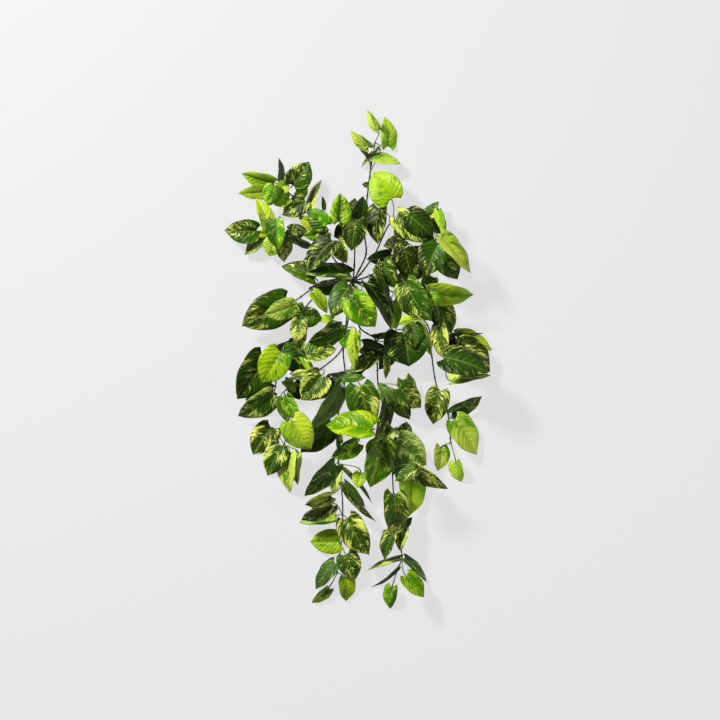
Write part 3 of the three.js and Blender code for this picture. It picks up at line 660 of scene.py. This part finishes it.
def stem_material(name, dark, light, size, bump_depth):
    material, n, shader = new_material(name)
    grain = n.add("ShaderNodeGroup", node_tree=GRAIN)
    grain.inputs["Size"].default_value = size
    shade = n.ease(grain.outputs["Shade"], 0.35, 0.65)
    n.join(n.mix(shade, paint(dark), paint(light)), shader.inputs["Base Color"])
    n.join(grain.outputs["Roughness"], shader.inputs["Roughness"])
    add_bump(n, shader, grain.outputs["Height"], STEM_BUMP, bump_depth)
    return material


LEAF_TOP = leaf_material("leaf_top", (0.44, 0.28), 0.3)
LEAF_UNDER = leaf_material("leaf_underside", (0.62, 0.54), 0.15, haze=0.5)
STEM_SKIN = stem_material("stem_skin", "#14150b", "#333a1c", 500.0, 0.2 * MM)
STALK_SKIN = stem_material("stalk_skin", "#33461c", "#7f9a48", 700.0, 0.1 * MM)
CROWN_BARK = stem_material("crown_bark", "#1d2110", "#5d6438", 420.0, 0.6 * MM)


# ---- Growing along a line --------------------------------------------------
NUB_SEGMENTS, NUB_RINGS = 8, 6
NUB_RADIUS = 1.25 * STEM_RADIUS
NUB_LEAST, NUB_MOST = (0.85, 0.85, 0.75), (1.15, 1.15, 0.95)
NUB_SEED = 7


def growing_tree(name, skin, nubs):
    """A closed tube along a line, of the line's own thickness. A stem has a nub at each node."""
    tree = bpy.data.node_groups.new(name, "GeometryNodeTree")
    face = tree.interface
    face.new_socket("Line", in_out="INPUT", socket_type="NodeSocketGeometry")
    sides = face.new_socket("Sides", in_out="INPUT", socket_type="NodeSocketInt")
    sides.default_value = 10
    nub_size = face.new_socket("Nub Size", in_out="INPUT", socket_type=FLOAT)
    nub_size.default_value = 1.0
    face.new_socket("Tube", in_out="OUTPUT", socket_type="NodeSocketGeometry")
    new, link = tree.nodes.new, tree.links.new
    given, out = new("NodeGroupInput"), new("NodeGroupOutput")
    thickness = new("GeometryNodeInputNamedAttribute")
    thickness.data_type = "FLOAT"
    thickness.inputs["Name"].default_value = "thickness"
    to_curve = new("GeometryNodeMeshToCurve")
    link(given.outputs["Line"], to_curve.inputs["Mesh"])
    ring = new("GeometryNodeCurvePrimitiveCircle")
    ring.inputs["Radius"].default_value = 1.0
    link(given.outputs["Sides"], ring.inputs["Resolution"])
    tube = new("GeometryNodeCurveToMesh")
    tube.inputs["Fill Caps"].default_value = True
    link(to_curve.outputs[0], tube.inputs["Curve"])
    link(ring.outputs["Curve"], tube.inputs["Profile Curve"])
    link(thickness.outputs["Attribute"], tube.inputs["Scale"])
    grown = tube.outputs[0]
    if nubs:
        node_mark = new("GeometryNodeInputNamedAttribute")
        node_mark.data_type = "FLOAT"
        node_mark.inputs["Name"].default_value = "node"
        at_node = new("ShaderNodeMath")
        at_node.operation = "GREATER_THAN"
        at_node.inputs[1].default_value = 0.5
        link(node_mark.outputs["Attribute"], at_node.inputs[0])
        nub = new("GeometryNodeMeshUVSphere")
        nub.inputs["Segments"].default_value = NUB_SEGMENTS
        nub.inputs["Rings"].default_value = NUB_RINGS
        nub.inputs["Radius"].default_value = NUB_RADIUS
        stand = new("GeometryNodeInstanceOnPoints")
        link(given.outputs["Line"], stand.inputs["Points"])
        link(at_node.outputs[0], stand.inputs["Selection"])
        link(nub.outputs["Mesh"], stand.inputs["Instance"])
        size = new("FunctionNodeRandomValue")
        size.data_type = "FLOAT_VECTOR"
        size.inputs["Min"].default_value = NUB_LEAST
        size.inputs["Max"].default_value = NUB_MOST
        size.inputs["Seed"].default_value = NUB_SEED
        grow = new("ShaderNodeVectorMath")
        grow.operation = "SCALE"
        link(size.outputs["Value"], grow.inputs[0])
        link(given.outputs["Nub Size"], grow.inputs["Scale"])
        link(grow.outputs[0], stand.inputs["Scale"])
        together = new("GeometryNodeJoinGeometry")
        link(stand.outputs[0], together.inputs[0])
        link(grown, together.inputs[0])
        grown = together.outputs[0]
    real = new("GeometryNodeRealizeInstances")
    link(grown, real.inputs[0])
    finish = new("GeometryNodeSetMaterial")
    finish.inputs["Material"].default_value = skin
    link(real.outputs[0], finish.inputs["Geometry"])
    link(finish.outputs[0], out.inputs["Tube"])
    return tree, sides.identifier, nub_size.identifier


STEM_TREE, STEM_SIDES = growing_tree("vine_stem", STEM_SKIN, True), 12
STALK_TREE, STALK_SIDES = growing_tree("leaf_stalks", STALK_SKIN, False), 8


def grow(name, lines, recipe, sides, nub_size=1.0):
    """Tubes along lines of (point, thickness, is a node) as one plain mesh."""
    tree, sides_id, nub_id = recipe
    corners, edges, thickness, nodes = [], [], [], []
    for line in lines:
        first = len(corners)
        for i, (point, radius, is_node) in enumerate(line):
            corners.append(point)
            thickness.append(radius)
            nodes.append(float(is_node))
            if i:
                edges.append((first + i - 1, first + i))
    mesh = bpy.data.meshes.new(name)
    mesh.from_pydata(corners, edges, [])
    mesh.attributes.new("thickness", "FLOAT", "POINT").data.foreach_set("value", thickness)
    mesh.attributes.new("node", "FLOAT", "POINT").data.foreach_set("value", nodes)
    worker = bpy.data.objects.new(name + "_line", mesh)
    bpy.context.scene.collection.objects.link(worker)
    modifier = worker.modifiers.new("grow", "NODES")
    modifier.node_group = tree
    modifier[sides_id] = sides
    modifier[nub_id] = nub_size
    graph = bpy.context.evaluated_depsgraph_get()
    grown = bpy.data.meshes.new_from_object(worker.evaluated_get(graph))
    bpy.data.objects.remove(worker)
    return grown


# ---- Stems -----------------------------------------------------------------
FINE_STEPS = 24  # between two given places


def through(points, steps):
    """A smooth curve through points, as evenly spaced plan places."""
    ends = [points[0] * 2 - points[1], *points, points[-1] * 2 - points[-2]]
    fine = []
    for a, b, c, d in zip(ends, ends[1:], ends[2:], ends[3:]):
        t1 = max((b - a).length, 1e-6) ** 0.5
        t2 = t1 + max((c - b).length, 1e-6) ** 0.5
        t3 = t2 + max((d - c).length, 1e-6) ** 0.5
        for i in range(FINE_STEPS):
            t = t1 + (t2 - t1) * i / FINE_STEPS
            p = a * ((t1 - t) / t1) + b * (t / t1)
            q = b * ((t2 - t) / (t2 - t1)) + c * ((t - t1) / (t2 - t1))
            r = c * ((t3 - t) / (t3 - t2)) + d * ((t - t2) / (t3 - t2))
            u = p * ((t2 - t) / t2) + q * (t / t2)
            v = q * ((t3 - t) / (t3 - t1)) + r * ((t - t1) / (t3 - t1))
            fine.append(u * ((t2 - t) / (t2 - t1)) + v * ((t - t1) / (t2 - t1)))
    fine.append(points[-1])
    reach = [0.0]
    for a, b in zip(fine, fine[1:]):
        reach.append(reach[-1] + (b - a).length)
    even = []
    for i in range(steps + 1):
        want = reach[-1] * i / steps
        j = max(1, next((k for k, r in enumerate(reach) if r >= want - 1e-12), len(reach) - 1))
        share = (want - reach[j - 1]) / max(reach[j] - reach[j - 1], 1e-9)
        even.append(fine[j - 1].lerp(fine[j], share))
    return even


PROBES = ((0, 0), (0.7, 0), (-0.7, 0), (0, 0.7), (0, -0.7))  # millimetres from the middle line
ABOVE_ALL = 0.5


def stem_path(vine, nodes):
    """The stem's middle line, at the height where the CAD stem lies."""
    middle = crown_middle()
    places = [place(x, y) for x, y, *_ in nodes]
    start = middle + (places[0] - middle).normalized() * (CROWN_RADIUS + STEM_GAP + STEM_RADIUS)
    points = [start, *places]
    length = sum((b - a).length for a, b in zip(points, points[1:]))
    line = through(points, max(6, round(length / STEM_STEP)))
    tree = cad_tree(f"stem_{vine}")
    heights = []
    for p in line:
        best = None
        for dx, dy in PROBES:
            hit = tree.ray_cast(Vector((p.x + dx * MM, p.y + dy * MM, ABOVE_ALL)), -UP)[0]
            if hit and (best is None or hit.z > best):
                best = hit.z
        heights.append(best)
    known = [i for i, z in enumerate(heights) if z is not None]
    heights = np.interp(range(len(line)), known, [heights[i] for i in known])
    smooth = np.convolve(np.pad(heights, 2, mode="edge"), np.ones(5) / 5, mode="valid")
    return [Vector((p.x, p.y, max(z - STEM_DEPTH, LOWEST_STEM))) for p, z in zip(line, smooth)]


def add_piece(name, mesh, node):
    """A finished piece of the plant in place of its CAD node."""
    mesh.polygons.foreach_set("use_smooth", [True] * len(mesh.polygons))
    piece = bpy.data.objects.new(name, mesh)
    bpy.context.scene.collection.objects.link(piece)
    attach(piece, "root")
    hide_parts(node)


STEM_LINES = {vine: stem_path(vine, nodes) for vine, nodes in VINES.items()}
for vine, path in STEM_LINES.items():
    heart = crown_middle(path[0].z)
    line = [(heart.lerp(path[0], reach), STEM_RADIUS, False) for reach in ROOT_REACHES]
    leafy = [place(x, y) for x, y, *rest in VINES[vine]]
    nearest = {min(range(len(path)), key=lambda i: (path[i].xy - spot.xy).length) for spot in leafy}
    for i, p in enumerate(path):
        swell = NODE_SWELL if i in nearest else 1.0
        radius = STEM_RADIUS * (0.9 - 0.2 * i / len(path)) * swell
        line.append((p, radius, i in nearest or i % NODE_STEP == NODE_TURN))
    stem_mesh = grow(f"vine_{vine}", [line], STEM_TREE, STEM_SIDES)
    add_piece(f"vine_{vine}", stem_mesh, f"stem_{vine}")


# ---- Sprigs ----------------------------------------------------------------
# What a blade's corners carry for its material.
LEAF_MARKS = {
    "tone": ("FLOAT", "value"),
    "seed": ("FLOAT", "value"),
    "ground": ("FLOAT_COLOR", "color"),
    "streak": ("FLOAT_COLOR", "color"),
}


def above_floor(point):
    """A leaf's margin turns up where it meets the surface that the bunch lies on."""
    return Vector((point.x, point.y, max(point.z, 2 * BLADE_THICKNESS)))


CROWDING = 0.55  # how much closer the rows lie near the margin
SEED_STEP = 0.013


def leaf_mesh(leaf, into):
    """Adds the two faces of a blade, joined round the margin."""
    corners, faces, slots, places = into["corners"], into["faces"], into["slots"], into["places"]
    first = len(corners)
    alongs = [(i / ROWS_ALONG) ** 0.9 for i in range(ROWS_ALONG)]
    evens = [2 * j / ROWS_ACROSS - 1 for j in range(ROWS_ACROSS + 1)]
    acrosses = [CROWDING * math.sin(math.pi / 2 * t) + (1 - CROWDING) * t for t in evens]
    grid = [[above_floor(leaf.point(s, t)) for t in acrosses] for s in alongs]
    tip = above_floor(leaf.point(1.0, 0.0))
    wide = ROWS_ACROSS + 1

    def normal_at(i, j):
        ahead = grid[min(i + 1, ROWS_ALONG - 1)][j] - grid[max(i - 1, 0)][j]
        aside = grid[i][min(j + 1, ROWS_ACROSS)] - grid[i][max(j - 1, 0)]
        normal = ahead.cross(aside)
        return normal.normalized() if normal.length > 1e-12 else leaf.up

    for layer in (0, 1):
        for i, s in enumerate(alongs):
            for j, t in enumerate(acrosses):
                sunk = BLADE_THICKNESS * (1 - t**6) * layer
                corners.append(grid[i][j] - normal_at(i, j) * (sunk + LEAST_THICKNESS * layer))
                places.append((s, t))
        corners.append(tip - leaf.up * LEAST_THICKNESS * layer)
        places.append((1.0, 0.0))
    per_layer = ROWS_ALONG * wide + 1
    for layer in (0, 1):
        shift = first + layer * per_layer
        for i in range(ROWS_ALONG):
            for j in range(ROWS_ACROSS):
                a, b = shift + i * wide + j, shift + i * wide + j + 1
                if i + 1 < ROWS_ALONG:
                    face = (a, b, b + wide, a + wide)
                else:
                    face = (a, b, shift + per_layer - 1)
                faces.append(face[::-1] if layer == 0 else face)
                slots.append(layer)
    margin = [first + j for j in range(wide)]
    margin += [first + i * wide + ROWS_ACROSS for i in range(1, ROWS_ALONG)]
    margin += [first + per_layer - 1]
    margin += [first + i * wide for i in reversed(range(1, ROWS_ALONG))]
    for a, b in zip(margin, margin[1:] + margin[:1]):
        faces.append((a, b, b + per_layer, a + per_layer))
        slots.append(0)
    count = len(corners) - first
    colours = LeafPaint(leaf)
    for s, t in places[first:]:
        ground, streak, tone = colours.at(s, t)
        into["ground"] += ground
        into["streak"] += streak
        into["tone"].append(tone)
    into["seed"] += [vary(leaf.number, 14) + leaf.number * SEED_STEP] * count


STALK_THICK, STALK_TAPER = 1.15, 0.35  # radius in millimetres at the ends, and how much it narrows
STALK_STEP = 3 * MM  # between two points of a stalk's middle line
STALK_ARCH = 4 * MM  # the least height to which a stalk swings up


def stalk_line(leaf, start):
    """From the stem, up and over to the base of the blade, in line with the midrib."""
    end = leaf.point(0.06, 0.0) - leaf.up * 0.3 * MM
    gap = (end - start).length
    rise = UP * max(end.z - start.z, STALK_ARCH) * 0.6
    out = (end - start) * 0.15 + rise
    back = end - leaf.midrib * gap * 0.35 - leaf.up * gap * 0.05
    line = []
    steps = max(6, int(gap / STALK_STEP))
    for i in range(steps + 1):
        u = i / steps
        v = 1 - u
        p = start * v**3 + (start + out) * 3 * u * v**2 + back * 3 * u * u * v + end * u**3
        p.z = max(p.z, STEM_RADIUS)
        narrow = STALK_TAPER * math.sin(math.pi * min(1, u * 1.15) ** 0.8)
        line.append((p, (STALK_THICK - narrow) * MM, False))
    return line


def all_sprigs():
    """Each sprig's vine, CAD node, place on the stem and numbered leaf rows."""
    count = 0
    for vine, nodes in VINES.items():
        leafy = [node for node in nodes if len(node) > 2]
        for i, (x, y, rows) in enumerate(leafy, 1):
            yield vine, f"sprig_{vine}_{i}", place(x, y), list(enumerate(rows, count))
            count += len(rows)


for vine, node, spot, rows in all_sprigs():
    corners = np.array(cad_corners(node))
    start = min(STEM_LINES[vine], key=lambda p: (p.xy - spot.xy).length)
    data = {kind: [] for kind in ("corners", "faces", "slots", "places", *LEAF_MARKS)}
    stalks = []
    for n, row in rows:
        leaf = Leaf(row, n)
        leaf.settle(corners)
        leaf_mesh(leaf, data)
        stalks.append(stalk_line(leaf, start))
    mesh = bpy.data.meshes.new(node + "_leaves")
    mesh.from_pydata(data["corners"], [], data["faces"])
    for name, (kind, field) in LEAF_MARKS.items():
        mesh.attributes.new(name, kind, "POINT").data.foreach_set(field, data[name])
    uv = mesh.uv_layers.new(name="leaf")
    for loop in mesh.loops:
        s, t = data["places"][loop.vertex_index]
        uv.data[loop.index].uv = (s, t * 0.5 + 0.5)
    mesh.materials.append(LEAF_TOP)
    mesh.materials.append(LEAF_UNDER)
    mesh.polygons.foreach_set("material_index", data["slots"])
    add_piece(node + "_leaves", mesh, node)
    stalk_mesh = grow(node + "_stalks", stalks, STALK_TREE, STALK_SIDES)
    add_piece(node + "_stalks", stalk_mesh, node)


# ---- Crown -----------------------------------------------------------------
CROWN_RINGS, CROWN_AROUND = 22, 28
CROWN_SEED = 5
CROWN_RIDGES, RIDGE_DEPTH = 9, 0.16
KNOT_DEPTH = 0.08


def make_crown():
    """The knotted base that all vines leave."""
    rng = random.Random(CROWN_SEED)
    middle = Vector([(CROWN_LOW[i] + CROWN_HIGH[i]) / 2 for i in (0, 1)] + [0])
    bumps = [rng.uniform(0.9, 1.0) for _ in range(CROWN_AROUND)]
    corners, faces = [], []
    for i in range(CROWN_RINGS + 1):
        u = i / CROWN_RINGS
        dome = math.sqrt(max(0.0, 1 - max(0.0, (u - CROWN_WAIST) / (1 - CROWN_WAIST)) ** 2))
        radius = CROWN_RADIUS * 0.97 * (0.85 + 0.15 * min(1, u * 4)) * max(0.12, dome)
        for j in range(CROWN_AROUND):
            turn = 2 * math.pi * j / CROWN_AROUND
            ridge = RIDGE_DEPTH * (0.5 + 0.5 * math.sin(CROWN_RIDGES * turn + 5 * u))
            knot = KNOT_DEPTH * math.sin(u * 26 + bumps[j] * 3) ** 2
            out = radius * (1 - ridge - knot)
            corner = Vector((math.cos(turn) * out, math.sin(turn) * out, u * CROWN_HIGH[2]))
            corners.append(middle + corner)
    for low in range(0, CROWN_RINGS * CROWN_AROUND, CROWN_AROUND):
        high = low + CROWN_AROUND
        for j in range(CROWN_AROUND):
            k = (j + 1) % CROWN_AROUND
            faces.append((low + j, low + k, high + k, high + j))
    faces.append(tuple(reversed(range(CROWN_AROUND))))
    faces.append(tuple(CROWN_RINGS * CROWN_AROUND + j for j in range(CROWN_AROUND)))
    mesh = bpy.data.meshes.new("crown_base")
    mesh.from_pydata(corners, [], faces)
    mesh.materials.append(CROWN_BARK)
    add_piece("crown_base", mesh, "crown")


make_crown()


# ---- Floor, lights and camera ----------------------------------------------
FLOOR_REACH = 6
FLOOR_GREY, FLOOR_GLOW = 0.14, 0.68  # the glow keeps the pale floor free of dark shadows


def make_stage():
    """The pale surface that the bunch lies on."""
    corners = [(x * FLOOR_REACH, y * FLOOR_REACH, 0) for x, y in ((-1, -1), (1, -1), (1, 1), (-1, 1))]
    mesh = bpy.data.meshes.new("floor")
    mesh.from_pydata(corners, [], [(0, 1, 2, 3)])
    material, _, shader = new_material("pale_floor")
    shader.inputs["Base Color"].default_value = (FLOOR_GREY, FLOOR_GREY, FLOOR_GREY, 1)
    shader.inputs["Roughness"].default_value = 1.0
    shader.inputs["Specular IOR Level"].default_value = 0.0
    shader.inputs["Emission Color"].default_value = (1, 1, 1, 1)
    shader.inputs["Emission Strength"].default_value = FLOOR_GLOW
    mesh.materials.append(material)
    floor = bpy.data.objects.new("floor", mesh)
    bpy.context.scene.collection.objects.link(floor)


def soft_light(name, where, size, power):
    """A round lamp that points at the bunch."""
    light = bpy.data.lights.new(name, "AREA")
    light.shape = "DISK"
    light.size = size
    light.energy = power
    lamp = bpy.data.objects.new(name, light)
    lamp.location = where
    lamp.rotation_euler = (-Vector(where)).to_track_quat("-Z", "Y").to_euler()
    bpy.context.scene.collection.objects.link(lamp)


SKY = 0.13
make_stage()
soft_light("key", (-1.6, 1.8, 1.9), 0.5, 123)
soft_light("fill", (2.2, -1.0, 1.6), 1.2, 13)
world = bpy.data.worlds.new("studio")
world.use_nodes = True
world.node_tree.nodes["Background"].inputs["Color"].default_value = (1, 1, 1, 1)
world.node_tree.nodes["Background"].inputs["Strength"].default_value = SKY
bpy.context.scene.world = world

VIEW_MIDDLE = (-3.4, -159.8)
VIEW_SIDE = 1.224  # metres across the view
VIEW_LIFT = 0.05  # the bunch's middle height
lens = bpy.data.cameras.new("camera")
lens.lens, lens.sensor_width = 200, 36
camera = bpy.data.objects.new("camera", lens)
bpy.context.scene.collection.objects.link(camera)
camera.location = place(*VIEW_MIDDLE, VIEW_SIDE * lens.lens / lens.sensor_width + VIEW_LIFT)
bpy.context.scene.camera = camera
bpy.context.scene.view_settings.view_transform = "Standard"
